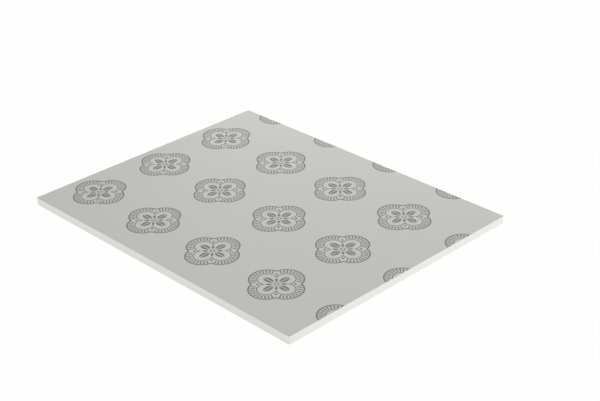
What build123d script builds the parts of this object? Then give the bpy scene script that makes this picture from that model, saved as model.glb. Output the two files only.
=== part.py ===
from build123d import *
import os

# Self-adhesive foam mounting board, lying flat with its peel-off liner uppermost.
# The origin is at the centre of the back face. X runs along the long side, Y along
# the short side and Z up, towards the liner.

# Driving dimensions, in millimetres
board_length = 254.0  # 10 in, along X
board_width = 203.2  # 8 in, along Y
board_thickness = 5.3  # 3/16 in foam with the paper bonded to its two faces
liner_thickness = 0.15  # peel-off paper with the adhesive film that it covers
corner_radius = 0.4  # upright corners, a little blunted where the trimming cuts meet


def cut_sheet(underside, thickness):
    """A sheet trimmed to the board's outline, with its underside at the given height."""
    outline = RectangleRounded(board_length, board_width, corner_radius)
    return Pos(0, 0, underside) * extrude(outline, amount=thickness)


def foam_board():
    """The white board itself, resting on its back face."""
    return cut_sheet(0, board_thickness)


def release_liner():
    """The printed sheet over the adhesive, trimmed flush with the board in the same cuts."""
    return cut_sheet(board_thickness, liner_thickness)


os.makedirs("parts", exist_ok=True)
for make_piece in (foam_board, release_liner):
    export_step(make_piece(), f"parts/{make_piece.__name__}.step")
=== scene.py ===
import math

import bpy
import numpy as np
from mathutils import Matrix, Vector
from mathutils.geometry import delaunay_2d_cdt


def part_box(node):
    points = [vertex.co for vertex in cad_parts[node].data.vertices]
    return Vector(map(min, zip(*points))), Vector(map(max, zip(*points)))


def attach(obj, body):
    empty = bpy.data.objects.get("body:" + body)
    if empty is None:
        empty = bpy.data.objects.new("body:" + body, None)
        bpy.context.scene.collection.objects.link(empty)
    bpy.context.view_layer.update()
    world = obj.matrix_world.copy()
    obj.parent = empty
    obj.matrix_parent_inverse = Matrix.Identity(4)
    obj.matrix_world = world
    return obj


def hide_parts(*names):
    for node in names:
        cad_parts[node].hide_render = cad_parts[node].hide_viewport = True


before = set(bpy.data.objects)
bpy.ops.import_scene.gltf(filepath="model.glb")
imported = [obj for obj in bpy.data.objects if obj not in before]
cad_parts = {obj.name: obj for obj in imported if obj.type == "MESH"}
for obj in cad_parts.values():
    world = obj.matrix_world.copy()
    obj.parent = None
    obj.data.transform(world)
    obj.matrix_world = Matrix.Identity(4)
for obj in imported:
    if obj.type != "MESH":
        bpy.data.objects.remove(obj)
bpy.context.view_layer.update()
mm = 0.001
cornerRadius = 0.4 * mm  # the board and its liner are cut as one
# the origin is the middle of the board's back, so one corner of its box gives all its sizes
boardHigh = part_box("foam_board")[1]
linerLow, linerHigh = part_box("release_liner")
print("frame loaded, nodes:", ", ".join(sorted(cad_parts)))


# Shader helpers

# a value on its way between two shader nodes, so that maths on it is written as maths
class Wire:
    def __init__(self, tree, socket=None):
        self.tree = tree
        self.socket = socket

    # any node: its type, its settings, what goes into its sockets, and the output that is wanted
    def node(self, kind, settings, sockets, output=0):
        made = self.tree.nodes.new("ShaderNode" + kind)
        for name, value in settings.items():
            setattr(made, name, value)
        for name, value in sockets.items():
            if isinstance(value, Wire):
                self.tree.links.new(value.socket, made.inputs[name])
            else:
                made.inputs[name].default_value = value
        return Wire(self.tree, made.outputs[output] if made.outputs else None)

    # another output of the same node
    def beside(self, output):
        return Wire(self.tree, self.socket.node.outputs[output])

    def maths(self, operation, *values):
        return self.node("Math", {"operation": operation}, dict(enumerate(values)))

    def __add__(self, other):
        return self.maths("ADD", self, other)

    def __radd__(self, other):
        return self.maths("ADD", other, self)

    def __sub__(self, other):
        return self.maths("SUBTRACT", self, other)

    def __rsub__(self, other):
        return self.maths("SUBTRACT", other, self)

    def __mul__(self, other):
        return self.maths("MULTIPLY", self, other)

    def __rmul__(self, other):
        return self.maths("MULTIPLY", other, self)

    def __truediv__(self, other):
        return self.maths("DIVIDE", self, other)

    def __rtruediv__(self, other):
        return self.maths("DIVIDE", other, self)

    def __abs__(self):
        return self.maths("ABSOLUTE", self)


def larger(first, *others):
    for other in others:
        first = first.maths("MAXIMUM", first, other)
    return first


def smaller(first, second):
    return first.maths("MINIMUM", first, second)


def distance(across, along):
    return across.maths("SQRT", across * across + along * along)


def clamp(value):
    return value.node("Clamp", {}, {0: value})


# a Mix node's colour sockets go by number, because other sockets of it have the same names
def blend(mask, first, second):
    def colour(value):
        return (*value, 1) if isinstance(value, tuple) else value

    return mask.node("Mix", {"data_type": "RGBA"}, {0: mask, 6: colour(first), 7: colour(second)}, 2)


# cloudy noise from 0 to 1: its grain is in millimetres, and squeezed places draw it out along an axis
def clouds(place, noise):
    if "squeeze" in noise:
        place = place.node("VectorMath", {"operation": "MULTIPLY"}, {0: place, 1: noise["squeeze"]})
    scale = 1 / noise["grain"]
    return place.node("TexNoise", {}, {"Vector": place, "Scale": scale, "Detail": noise["detail"]})


# a value that strays from its middle as the noise does
def varied(middle, noise, spread):
    return middle + (noise - 0.5) * spread


# relief in millimetres, as a bump on the surface
def relief(height):
    return height.node("Bump", {}, {"Strength": 1.0, "Distance": mm, "Height": height})


def newMaterial(name):
    material = bpy.data.materials.new(name)
    material.use_nodes = True
    material.node_tree.nodes.clear()
    return material, Wire(material.node_tree)


# the place on the piece in millimetres
def placeInMm(net):
    metres = net.node("TexCoord", {}, {}, "Object")
    return net.node("VectorMath", {"operation": "SCALE"}, {0: metres, "Scale": 1 / mm})


def finishMaterial(net, sockets):
    shader = net.node("BsdfPrincipled", {}, sockets)
    net.node("OutputMaterial", {}, {"Surface": shader})


# Mesh helpers

creaseAngle = math.radians(32)  # edges that turn by more than this stay crisp


# the four corners of each cell of a grid, going round it: of point numbers, or of places on a map
def gridCells(grid):
    corners = [grid[:-1, :-1], grid[:-1, 1:], grid[1:, 1:], grid[1:, :-1]]
    return np.stack(corners, 2).reshape(-1, 4, *grid.shape[2:])


# places on one patch of a piece's map, from shares of the patch's width and height
def onPatch(patch, across, up):
    left, low, width, height = patch
    return np.stack(np.broadcast_arrays(left + width * across, low + height * up), -1)


# a piece from its points and its groups of faces, each with its places on the map and its material
def makePiece(name, points, groups):
    mesh = bpy.data.meshes.new(name)
    faces, mapPlaces, finishes = [], [], []
    for corners, places, material in groups:
        if material.name not in mesh.materials:
            mesh.materials.append(material)
        faces += corners.tolist()
        mapPlaces.append(places.reshape(-1, 2))
        finishes += [mesh.materials.find(material.name)] * len(corners)
    mesh.from_pydata(points.tolist(), [], faces)
    mesh.polygons.foreach_set("material_index", np.array(finishes, np.int32))
    mesh.polygons.foreach_set("use_smooth", np.ones(len(faces), bool))
    bakeMap = mesh.uv_layers.new(name="OFBake")
    bakeMap.data.foreach_set("uv", np.concatenate(mapPlaces).astype(np.float32).ravel())
    mesh.set_sharp_from_angle(angle=creaseAngle)
    mesh.update()
    piece = bpy.data.objects.new(name, mesh)
    bpy.context.scene.collection.objects.link(piece)
    print(name, "has", len(points), "points and", len(faces), "faces")
    return piece


# Printed liner

linerLook = {
    "gridPitch": 2.2 * mm,
    "rimSteps": (0.0, 0.1, 0.2, 0.3, 0.4, 0.7, 1.2),  # grid lines from the cut edge, in mm
    "rollDepth": 0.05 * mm,  # how far the knife turned the cut edge down
    "rollReach": 0.6 * mm,
    "frontShort": 0.30 * mm,  # how far the liner stops short of the front edge, at its right end
    "frontBow": 0.60 * mm,  # and how far that line bows in
    "sideShort": 0.45 * mm,  # how far it stops short of the right edge, at the front corner
    "sideShare": 0.65,  # share of the right edge along which that runs out
    "shortFade": 15 * mm,  # the grid is drawn in with the edge this far into the sheet
    "cockle": 0.012 * mm,
    "cockleWaves": (31 * mm, 43 * mm, 58 * mm, 77 * mm, 96 * mm),
    "cockleFade": 12 * mm,  # the sheet lies flat along its edges
    "seed": 7,
    "topPatch": (0.004, 0.056, 0.992, 0.94),  # places on the map: left, low, width and height
    "lowPatch": (0.004, 0.004, 0.60, 0.026),
    "rimPatch": (0.004, 0.036, 0.99, 0.014),
    "greyDark": (0.499, 0.504, 0.467),
    "greyLight": (0.533, 0.539, 0.502),
    "whiteDark": (0.800, 0.798, 0.768),  # the paper itself, which shows at the cut edge
    "whiteLight": (0.840, 0.838, 0.810),
    "formation": {"grain": 3.5, "detail": 4.0},  # cloudy patches in the paper
    "fibre": {"grain": 0.35, "detail": 2.0, "squeeze": (1.0, 0.35, 1.0)},
    "fibreShare": 0.3,  # of the change in tone, and the patches have the rest
    "fibreHeight": 0.004,  # heights in a material are in mm
    "swell": {"grain": 28.0, "detail": 2.0},
    "swellHeight": 0.02,
    "roughness": 0.36,
    "roughnessSpread": 0.12,
    "ior": 1.46,
    "ink": (0.131, 0.131, 0.121),
    "inkRoughness": 0.10,  # added where there is ink
    "inkGrain": {"grain": 0.9, "detail": 3.0},
    "inkThin": 0.72,  # how well the ink covers at the least
    "inkSpread": 0.5,
    # the print: four-lobed medallions on a straight grid, in mm, each stroke given as half its width
    "medallion": {
        "pitch": 60.0,
        "fromCorner": (26.0, 36.0),  # centre of the first one, from the sheet's low corner
        "lobeReach": 8.5,
        "lobeRadius": 11.5,
        "outerStroke": 0.55,
        "band": (0.9, 4.3),  # hatched band, measured in from the outline
        "bandStep": 13.5,  # degrees from one hatch stroke to the next
        "bandCount": 5,  # strokes on each side of a lobe's middle one
        "bandStroke": 0.52,
        "innerLine": 5.2,
        "innerStroke": 0.38,
        "petal": {"centre": 7.1, "length": 4.5, "width": 2.4},
        "veinStroke": 0.30,
        "leaf": {"centre": 4.85, "length": 2.15, "width": 0.95},
        "bead": {"centre": 11.9, "radius": 0.95},
        "hub": 1.5,
        "hubStroke": 0.38,
        "softness": 0.16,
        "ragged": {"grain": 0.625, "detail": 3.0},
        "raggedness": 0.14,
    },
}


# how far outside a pointed oval that lies along the first axis
def pointedOval(along, across, shape):
    length = shape["length"]
    width = shape["width"]
    radius = (length ** 2 + width ** 2) / (2 * width)
    return distance(along - shape["centre"], across + (radius - width)) - radius


def medallionInk(place, corner, look):
    reach = look["lobeReach"]

    def inside(edge):
        return clamp(0.5 - edge / look["softness"])

    def stroke(edge, halfWidth):
        return inside(abs(edge) - halfWidth)

    # the print's lines wander a little, as ink on paper does
    ragged = clouds(place, look["ragged"]).beside("Color")
    shift = (2 * look["raggedness"],) * 3
    printed = ragged.node("VectorMath", {"operation": "MULTIPLY_ADD"}, {0: ragged, 1: shift, 2: place})
    x = printed.node("SeparateXYZ", {}, {0: printed})
    y = x.beside("Y")
    half = look["pitch"] / 2
    u = x.maths("WRAP", x - (corner[0] + look["fromCorner"][0]), half, -half)
    v = y.maths("WRAP", y - (corner[1] + look["fromCorner"][1]), half, -half)
    # one eighth of the motif, mirrored all round
    a = abs(u)
    b = abs(v)
    along = larger(a, b)
    across = smaller(a, b)
    diagonal = (a + b) * math.sqrt(0.5)
    offDiagonal = abs(a - b) * math.sqrt(0.5)
    lobe = distance(along - reach, across) - look["lobeRadius"]
    # hatched band
    bandIn, bandOut = look["band"]
    bandMiddle = (bandIn + bandOut) / 2
    bandRadius = look["lobeRadius"] - bandMiddle
    step = math.radians(look["bandStep"])
    turn = across.maths("ARCTAN2", across, along - reach)
    band = inside(abs(lobe + bandMiddle) - (bandOut - bandIn) / 2)
    band = band * inside((turn - step * (look["bandCount"] + 0.5)) * bandRadius)
    hatch = stroke(turn.maths("WRAP", turn, step / 2, -step / 2) * bandRadius, look["bandStroke"])
    # inner line, which stops where two lobes meet
    innerRadius = look["lobeRadius"] - look["innerLine"]
    meeting = (reach + math.sqrt(2 * innerRadius ** 2 - reach ** 2)) / 2
    inner = stroke(lobe + look["innerLine"], look["innerStroke"]) * inside(meeting - along)
    petal = inside(pointedOval(along, across, look["petal"]))
    vein = stroke(across, look["veinStroke"])
    bead = look["bead"]
    return larger(
        stroke(lobe, look["outerStroke"]),
        band * hatch,
        inner,
        petal * (1 - vein),
        inside(pointedOval(diagonal, offDiagonal, look["leaf"])),
        inside(distance(diagonal - bead["centre"], offDiagonal) - bead["radius"]),
        stroke(distance(u, v) - look["hub"], look["hubStroke"]),
    )


def linerPaper(name, printed):
    look = linerLook
    material, net = newMaterial(name)
    place = placeInMm(net)
    formation = clouds(place, look["formation"])
    fibre = clouds(place, look["fibre"])
    shade = "grey" if printed else "white"
    tone = formation * (1 - look["fibreShare"]) + fibre * look["fibreShare"]
    colour = blend(tone, look[shade + "Dark"], look[shade + "Light"])
    rough = varied(look["roughness"], formation, look["roughnessSpread"])
    height = fibre * look["fibreHeight"] + clouds(place, look["swell"]) * look["swellHeight"]
    if printed:
        ink = medallionInk(place, (linerLow.x / mm, linerLow.y / mm), look["medallion"])
        cover = clamp(look["inkThin"] + clouds(place, look["inkGrain"]) * look["inkSpread"])
        colour = blend(ink * cover, colour, look["ink"])
        rough = rough + ink * look["inkRoughness"]
    finishMaterial(net, {
        "Base Color": colour,
        "Roughness": rough,
        "IOR": look["ior"],
        "Normal": relief(height),
    })
    return material


# grid lines across one side of the sheet: close together by the cut edges, even between them
def gridLines(half, look):
    rim = half - np.array(look["rimSteps"]) * mm
    count = round(2 * rim[-1] / look["gridPitch"])
    middle = np.linspace(-rim[-1], rim[-1], count + 1)[1:-1]
    return np.concatenate([-rim, middle, rim[::-1]])


# soft waves of random direction, from 0 to 1
def softWaves(x, y, lengths, seed):
    rng = np.random.default_rng(seed)
    total = np.zeros_like(x)
    for length in lengths:
        heading = rng.uniform(0, math.pi)
        phase = rng.uniform(0, 2 * math.pi)
        along = x * math.cos(heading) + y * math.sin(heading)
        total += np.sin(2 * math.pi * along / length + phase)
    return (total - total.min()) / (total.max() - total.min())


# square grid corners drawn in to rounded ones
def roundedCorners(x, y, halfX, halfY):
    r = cornerRadius
    p = np.clip((abs(x) - (halfX - r)) / r, 0, 1)
    q = np.clip((abs(y) - (halfY - r)) / r, 0, 1)
    inCorner = (p > 0) & (q > 0)
    roundX = np.sign(x) * (halfX - r + r * p * np.sqrt(1 - q * q / 2))
    roundY = np.sign(y) * (halfY - r + r * q * np.sqrt(1 - p * p / 2))
    return np.where(inCorner, roundX, x), np.where(inCorner, roundY, y)


# the two near edges drawn in a little, so that a line of the board shows beside them
def shortEdges(x, y, halfX, halfY, look):
    across = (x / halfX + 1) / 2
    along = (y / halfY + 1) / 2
    front = look["frontShort"] * across + look["frontBow"] * 4 * across * (1 - across)
    side = look["sideShort"] * np.clip(1 - along / look["sideShare"], 0, 1)
    nearFront = np.clip(1 - (y + halfY) / look["shortFade"], 0, 1)
    nearSide = np.clip(1 - (halfX - x) / look["shortFade"], 0, 1)
    return x - side * nearSide, y + front * nearFront


# once round a grid's outermost points, back to the first
def rimLoop(ids):
    return np.concatenate([ids[0, :-1], ids[:-1, -1], ids[-1, :0:-1], ids[::-1, 0]])


def makeLiner():
    look = linerLook
    halfX = linerHigh.x
    halfY = linerHigh.y
    x, y = np.meshgrid(gridLines(halfX, look), gridLines(halfY, look))
    edge = np.minimum(halfX - abs(x), halfY - abs(y))
    roll = look["rollDepth"] * np.clip(1 - edge / look["rollReach"], 0, 1) ** 2
    cockle = look["cockle"] * softWaves(x, y, look["cockleWaves"], look["seed"])
    cockle *= np.clip(edge / look["cockleFade"], 0, 1)
    x, y = roundedCorners(x, y, halfX, halfY)
    x, y = shortEdges(x, y, halfX, halfY, look)
    top = np.stack([x, y, linerHigh.z - (roll + cockle)], -1)
    bottom = np.stack([x, y, np.full_like(x, linerLow.z)], -1)
    points = np.concatenate([top.reshape(-1, 3), bottom.reshape(-1, 3)])
    # upper face, lower face turned over, and the cut rim between them
    topIds = np.arange(x.size).reshape(x.shape)
    lowIds = topIds + x.size
    rimIds = np.stack([rimLoop(lowIds), rimLoop(topIds)])
    across = (x / halfX + 1) / 2
    along = (y / halfY + 1) / 2
    around = np.linspace(0, 1, rimIds.shape[1])
    topMap = onPatch(look["topPatch"], across, along)
    lowMap = onPatch(look["lowPatch"], across, along)
    rimMap = onPatch(look["rimPatch"], around, np.array([[0.0], [1.0]]))
    printed = linerPaper("printedLiner", True)
    bare = linerPaper("linerPaper", False)
    return makePiece("releaseLiner", points, [
        (gridCells(topIds), gridCells(topMap), printed),
        (gridCells(lowIds)[:, ::-1], gridCells(lowMap)[:, ::-1], bare),
        (gridCells(rimIds), gridCells(rimMap), bare),
    ])


releaseLiner = makeLiner()
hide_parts("release_liner")
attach(releaseLiner, "root")


# White board under the liner

boardLook = {
    "columnPitch": 0.5 * mm,
    "cornerSteps": 6,
    "paper": 0.25 * mm,  # facing paper, which shows as a rim along each cut edge
    "paperFuzz": 0.012 * mm,
    "paperStep": 0.03 * mm,  # half the height in which the cut steps from paper to foam
    "fuzzSeed": 24,
    "rimBevel": 0.04 * mm,  # the lowest edge is slightly blunt
    "rimHeight": 0.05 * mm,
    "foamRows": 17,
    "foamMargin": 0.06 * mm,  # from the papers to the first and last row
    "recess": 0.08 * mm,  # the foam springs back a little behind the papers' cut edges
    "leastRecess": 0.01 * mm,
    "cornerEase": 0.28 * mm,  # and a little more at the corners
    "cornerReach": 1.4 * mm,
    # the knife's slow wander and its fast chatter: a few sines each, of so many waves round the board
    "wander": {"depth": 0.035 * mm, "waves": (8, 30), "count": 6},
    "chatter": {"depth": 0.007 * mm, "waves": (380, 560), "count": 4, "lean": 900},  # radians a metre up
    "pits": {"depth": 0.030 * mm, "sharpness": 6},
    "cutSeed": 23,
    "capRings": ((0.9 * mm, 1.6 * mm), (2.6 * mm, 3.6 * mm)),  # rings of points on a face: inset, spacing
    "capGrid": (6.0 * mm, 9.0 * mm),  # the same for the grid inside them
    "strips": 8,  # the cut edge lies on the map in as many strips, one above the other
    "stripPatch": (0.004, 0.415, 0.99, 0.073),  # the lowest strip: left, low, width and height
    "stripFill": 0.93,  # share of a strip's height in use
    "lowPatch": (0.004, 0.004, 0.50, 0.40),  # back face on the map
    "topPatch": (0.52, 0.004, 0.46, 0.368),
    "foamDark": (0.832, 0.830, 0.790),
    "foamLight": (0.893, 0.892, 0.854),
    "foamRoughness": 0.72,
    "cell": 0.24,  # size of a foam cell, in mm
    "cellShare": 0.3,  # of the change in tone
    "cellDepth": 0.045,
    "patches": {"grain": 4.0, "detail": 3.0},
    "patchShare": 0.35,
    "drag": {"grain": 0.5, "detail": 2.0, "squeeze": (0.04, 0.04, 1.0)},  # streaks along the cut
    "dragShare": 0.35,
    "dragHeight": 0.012,
    "paperDark": (0.845, 0.845, 0.815),
    "paperLight": (0.880, 0.880, 0.852),
    "paperRoughness": 0.5,
    "formation": {"grain": 3.0, "detail": 4.0},
    "fibre": {"grain": 0.3, "detail": 2.0, "squeeze": (0.3, 1.0, 1.0)},
    "fibreHeight": 0.005,
    "tackDark": (0.725, 0.724, 0.685),  # adhesive on the upper face, which shows where the liner is short
    "tackLight": (0.770, 0.769, 0.732),
    "tackRoughness": 0.30,
    "film": {"grain": 2.5, "detail": 3.0, "squeeze": (0.25, 1.0, 1.0)},
    "filmHeight": 0.01,
    "roughnessSpread": 0.15,
}


def cutFoam():
    look = boardLook
    material, net = newMaterial("cutFoam")
    place = placeInMm(net)
    cells = place.node("TexVoronoi", {}, {"Vector": place, "Scale": 1 / look["cell"]})
    patches = clouds(place, look["patches"])
    drag = clouds(place, look["drag"])
    tone = patches * look["patchShare"] + drag * look["dragShare"] + (1 - cells) * look["cellShare"]
    finishMaterial(net, {
        "Base Color": blend(clamp(tone), look["foamDark"], look["foamLight"]),
        "Roughness": varied(look["foamRoughness"], patches, look["roughnessSpread"]),
        "Normal": relief(drag * look["dragHeight"] - cells * look["cellDepth"]),
    })
    return material


def facingPaper():
    look = boardLook
    material, net = newMaterial("facingPaper")
    place = placeInMm(net)
    formation = clouds(place, look["formation"])
    finishMaterial(net, {
        "Base Color": blend(formation, look["paperDark"], look["paperLight"]),
        "Roughness": varied(look["paperRoughness"], formation, look["roughnessSpread"]),
        "Normal": relief(clouds(place, look["fibre"]) * look["fibreHeight"]),
    })
    return material


def tackyFace():
    look = boardLook
    material, net = newMaterial("tackyFace")
    film = clouds(placeInMm(net), look["film"])
    finishMaterial(net, {
        "Base Color": blend(film, look["tackDark"], look["tackLight"]),
        "Roughness": varied(look["tackRoughness"], film, look["roughnessSpread"]),
        "Normal": relief(film * look["filmHeight"]),
    })
    return material


# points round the rounded outline with the way out at each, and how far each is from the nearest corner
def outline(half, look):
    r = cornerRadius
    points, outward, fromCorner = [], [], []
    for side in range(4):
        turn = side * math.pi / 2
        ahead = np.array([math.cos(turn), math.sin(turn)])
        left = np.array([-ahead[1], ahead[0]])
        reach = half[side % 2]
        halfLength = half[1 - side % 2] - r
        count = 2 * round(halfLength / look["columnPitch"])
        for t in np.linspace(-halfLength, halfLength, count + 1)[:-1]:
            points.append(ahead * reach + left * t)
            outward.append(ahead)
            fromCorner.append(halfLength - abs(t))
        centre = ahead * (reach - r) + left * halfLength
        for k in range(look["cornerSteps"]):
            angle = turn + math.pi / 2 * k / look["cornerSteps"]
            way = np.array([math.cos(angle), math.sin(angle)])
            points.append(centre + way * r)
            outward.append(way)
            fromCorner.append(0.0)
    return np.array(points), np.array(outward), np.array(fromCorner)


# how far the cut foam lies behind the papers' edges, for each row and column
def cutDepth(heights, fromCorner, look):
    rng = np.random.default_rng(look["cutSeed"])
    rows = len(heights)
    columns = len(fromCorner)
    around = 2 * math.pi * np.arange(columns) / columns
    wander = look["wander"]
    wandering = np.zeros(columns)
    for waves in rng.integers(*wander["waves"], wander["count"]):
        wandering += np.sin(waves * around + rng.uniform(0, 2 * math.pi)) / wander["count"]
    chatter = look["chatter"]
    marks = np.zeros((rows, columns))
    for waves in rng.integers(*chatter["waves"], chatter["count"]):
        lean = rng.uniform(-chatter["lean"], chatter["lean"]) * heights[:, None]
        marks += np.sin(waves * around + lean + rng.uniform(0, 2 * math.pi)) / chatter["count"]
    pits = rng.random((rows, columns)) ** look["pits"]["sharpness"]
    pits = (2 * pits + np.roll(pits, 1, 1) + np.roll(pits, -1, 1)) / 4
    depth = look["recess"] + wander["depth"] * wandering
    depth = depth + chatter["depth"] * marks + look["pits"]["depth"] * pits
    ease = look["cornerEase"] * np.exp(-(fromCorner / look["cornerReach"]) ** 2)
    return np.maximum(depth, look["leastRecess"]) + ease


# triangles over a flat outline, small along the cut and large inside, with the points added inside it
def capTriangles(loop, look):
    high = loop.max(0)

    def spread(side, inset, spacing):
        return np.linspace(inset - high[side], high[side] - inset, round(2 * high[side] / spacing))

    inner = []
    for inset, spacing in look["capRings"]:
        xs = spread(0, inset, spacing)
        ys = spread(1, inset, spacing)
        inner += [(x, y) for x in xs for y in (ys[0], ys[-1])]
        inner += [(x, y) for y in ys[1:-1] for x in (xs[0], xs[-1])]
    inner += [(x, y) for x in spread(0, *look["capGrid"]) for y in spread(1, *look["capGrid"])]
    count = len(loop)
    edges = [(i, (i + 1) % count) for i in range(count)]
    flat = [Vector(p) for p in loop.tolist() + inner]
    insideOnly = 1
    tolerance = 1e-9
    made = delaunay_2d_cdt(flat, edges, [], insideOnly, tolerance)
    triangles = np.array(made[2])
    cameFrom = np.array([ids[0] for ids in made[3]])
    return np.array(inner), cameFrom[triangles]


# rows of points up the cut edge: the height of each, how far its points lie behind the outline,
# and whether the strip from each row to the next is foam
def edgeRows(thick, fromCorner, look):
    rng = np.random.default_rng(look["fuzzSeed"])
    paper = look["paper"]
    step = look["paperStep"]
    margin = paper + look["foamMargin"]
    cutHeights = np.linspace(margin, thick - margin, look["foamRows"])
    cut = cutDepth(cutHeights, fromCorner, look)
    lowFuzz, highFuzz = look["paperFuzz"] * rng.random((2, len(fromCorner)))
    low = [(0.0, lowFuzz + look["rimBevel"]), (look["rimHeight"], lowFuzz), (paper - step, lowFuzz)]
    foam = [(paper + step, cut[0]), *zip(cutHeights, cut), (thick - paper - step, cut[-1])]
    high = [(thick - paper + step, highFuzz), (thick, highFuzz)]
    heights, depths = zip(*low, *foam, *high)
    isFoam = [False] * len(low) + [True] * (len(foam) - 1) + [False] * len(high)
    return np.array(heights), np.array(depths), np.array(isFoam)


# where the corners of the cut edge's cells lie on the map, row by row
def stripMap(columns, shares, look):
    perStrip = math.ceil(columns / look["strips"])
    strip, place = np.divmod(np.arange(columns), perStrip)
    up = strip + look["stripFill"] * shares[:, None]
    start = onPatch(look["stripPatch"], place / perStrip, up)
    end = onPatch(look["stripPatch"], (place + 1) / perStrip, up)
    return np.stack([start[:-1], end[:-1], end[1:], start[1:]], 2)


def makeBoard():
    look = boardLook
    half = np.array([boardHigh.x, boardHigh.y])
    line, outward, fromCorner = outline(half, look)
    columns = len(line)
    heights, depths, isFoam = edgeRows(boardHigh.z, fromCorner, look)
    rings = line - outward * depths[..., None]
    points = np.dstack([rings, np.broadcast_to(heights[:, None], depths.shape)]).reshape(-1, 3)
    # round the cut edge, where the last column meets the first
    ids = np.arange(len(points)).reshape(depths.shape)
    edgeCells = gridCells(np.column_stack([ids, ids[:, 0]])).reshape(-1, columns, 4)
    edgeMap = stripMap(columns, heights / boardHigh.z, look)
    foam = cutFoam()
    paper = facingPaper()
    groups = []
    for strips, material in ((isFoam, foam), (~isFoam, paper)):
        groups.append((edgeCells[strips].reshape(-1, 4), edgeMap[strips], material))
    # back face, turned over, and upper face
    for ring, turn, patch, material in ((0, -1, "lowPatch", paper), (-1, 1, "topPatch", tackyFace())):
        inner, triangles = capTriangles(rings[ring], look)
        capIds = np.concatenate([ids[ring], len(points) + np.arange(len(inner))])
        points = np.concatenate([points, np.column_stack([inner, np.full(len(inner), heights[ring])])])
        corners = capIds[triangles][:, ::turn]
        shares = (points[corners, :2] / half + 1) / 2
        groups.append((corners, onPatch(look[patch], shares[..., 0], shares[..., 1]), material))
    return makePiece("foamBoard", points, groups)


foamBoard = makeBoard()
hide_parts("foam_board")
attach(foamBoard, "root")


# Floor, surroundings and lamps

studio = {
    "floorHalf": 4.0,
    "floorDrop": 0.02 * mm,
    "floorColour": (0.88, 0.88, 0.88),
    "glow": 0.96,  # share of plain white that the camera sees in the floor, the rest keeps the shadow
    "sky": 0.725,
    "lamps": {
        "side": {"place": (1.25, 0.60, 0.35), "size": (0.9, 0.5), "power": 5.0},
        "front": {"place": (-0.30, -1.30, 0.70), "size": (0.9, 0.6), "power": 2.7},
        "rear": {"place": (-0.89, 1.14, 0.39), "size": (0.9, 0.45), "power": 2.7},
    },
}


# 1 for the rays that should find plain white: seen by the camera, in a gloss or through something clear
def seenRay(net):
    camera = net.node("LightPath", {}, {}, "Is Camera Ray")
    return larger(camera, camera.beside("Is Glossy Ray"), camera.beside("Is Transmission Ray"))


def makeFloor():
    half = studio["floorHalf"]
    level = -studio["floorDrop"]
    corners = [(-half, -half, level), (half, -half, level), (half, half, level), (-half, half, level)]
    mesh = bpy.data.meshes.new("studioFloor")
    mesh.from_pydata(corners, [], [(0, 1, 2, 3)])
    floor = bpy.data.objects.new("studioFloor", mesh)
    bpy.context.scene.collection.objects.link(floor)
    material, net = newMaterial("studioFloor")
    lit = net.node("BsdfDiffuse", {}, {"Color": (*studio["floorColour"], 1)})
    white = net.node("Emission", {}, {"Color": (1, 1, 1, 1), "Strength": 1.0})
    both = net.node("MixShader", {}, {0: seenRay(net) * studio["glow"], 1: lit, 2: white})
    net.node("OutputMaterial", {}, {"Surface": both})
    mesh.materials.append(material)


def makeSky():
    world = bpy.data.worlds.new("studioSky")
    bpy.context.scene.world = world
    world.use_nodes = True
    world.node_tree.nodes.clear()
    net = Wire(world.node_tree)
    seen = seenRay(net)
    strength = seen + (1 - seen) * studio["sky"]
    sky = net.node("Background", {}, {"Color": (1, 1, 1, 1), "Strength": strength})
    net.node("OutputWorld", {}, {"Surface": sky})


def makeLamp(name, look):
    lamp = bpy.data.lights.new(name, "AREA")
    lamp.shape = "RECTANGLE"
    lamp.size, lamp.size_y = look["size"]
    lamp.energy = look["power"]
    holder = bpy.data.objects.new(name, lamp)
    holder.location = look["place"]
    holder.rotation_euler = Vector(look["place"]).to_track_quat("Z", "Y").to_euler()
    bpy.context.scene.collection.objects.link(holder)


makeFloor()
makeSky()
for lampName, lampLook in studio["lamps"].items():
    makeLamp(lampName, lampLook)
print("studio is set")


# Camera, where the photograph was taken from

view = {
    "azimuth": 45.789,
    "elevation": 28.106,
    "roll": -1.164,
    "target": (3.57 * mm, 29.53 * mm, 0.0),
    "distance": 970.95 * mm,
    "lens": 82.885,
    "sensor": 36.0,
    "clipStart": 0.01,
}


def makeCamera():
    azimuth = math.radians(view["azimuth"])
    elevation = math.radians(view["elevation"])
    roll = math.radians(view["roll"])
    level = math.cos(elevation)
    back = Vector((math.sin(azimuth) * level, -math.cos(azimuth) * level, math.sin(elevation)))
    right = (-back).cross(Vector((0, 0, 1))).normalized()
    up = right.cross(-back)
    across = right * math.cos(roll) + up * math.sin(roll)
    upright = up * math.cos(roll) - right * math.sin(roll)
    turn = Matrix((across, upright, back)).transposed().to_4x4()
    lens = bpy.data.cameras.new("camera")
    lens.lens = view["lens"]
    lens.sensor_width = view["sensor"]
    lens.clip_start = view["clipStart"]
    camera = bpy.data.objects.new("camera", lens)
    camera.matrix_world = Matrix.Translation(Vector(view["target"]) + back * view["distance"]) @ turn
    bpy.context.scene.collection.objects.link(camera)
    bpy.context.scene.camera = camera


makeCamera()
bpy.context.scene.view_settings.view_transform = "Standard"
print("camera is set")

bpy.context.view_layer.update()
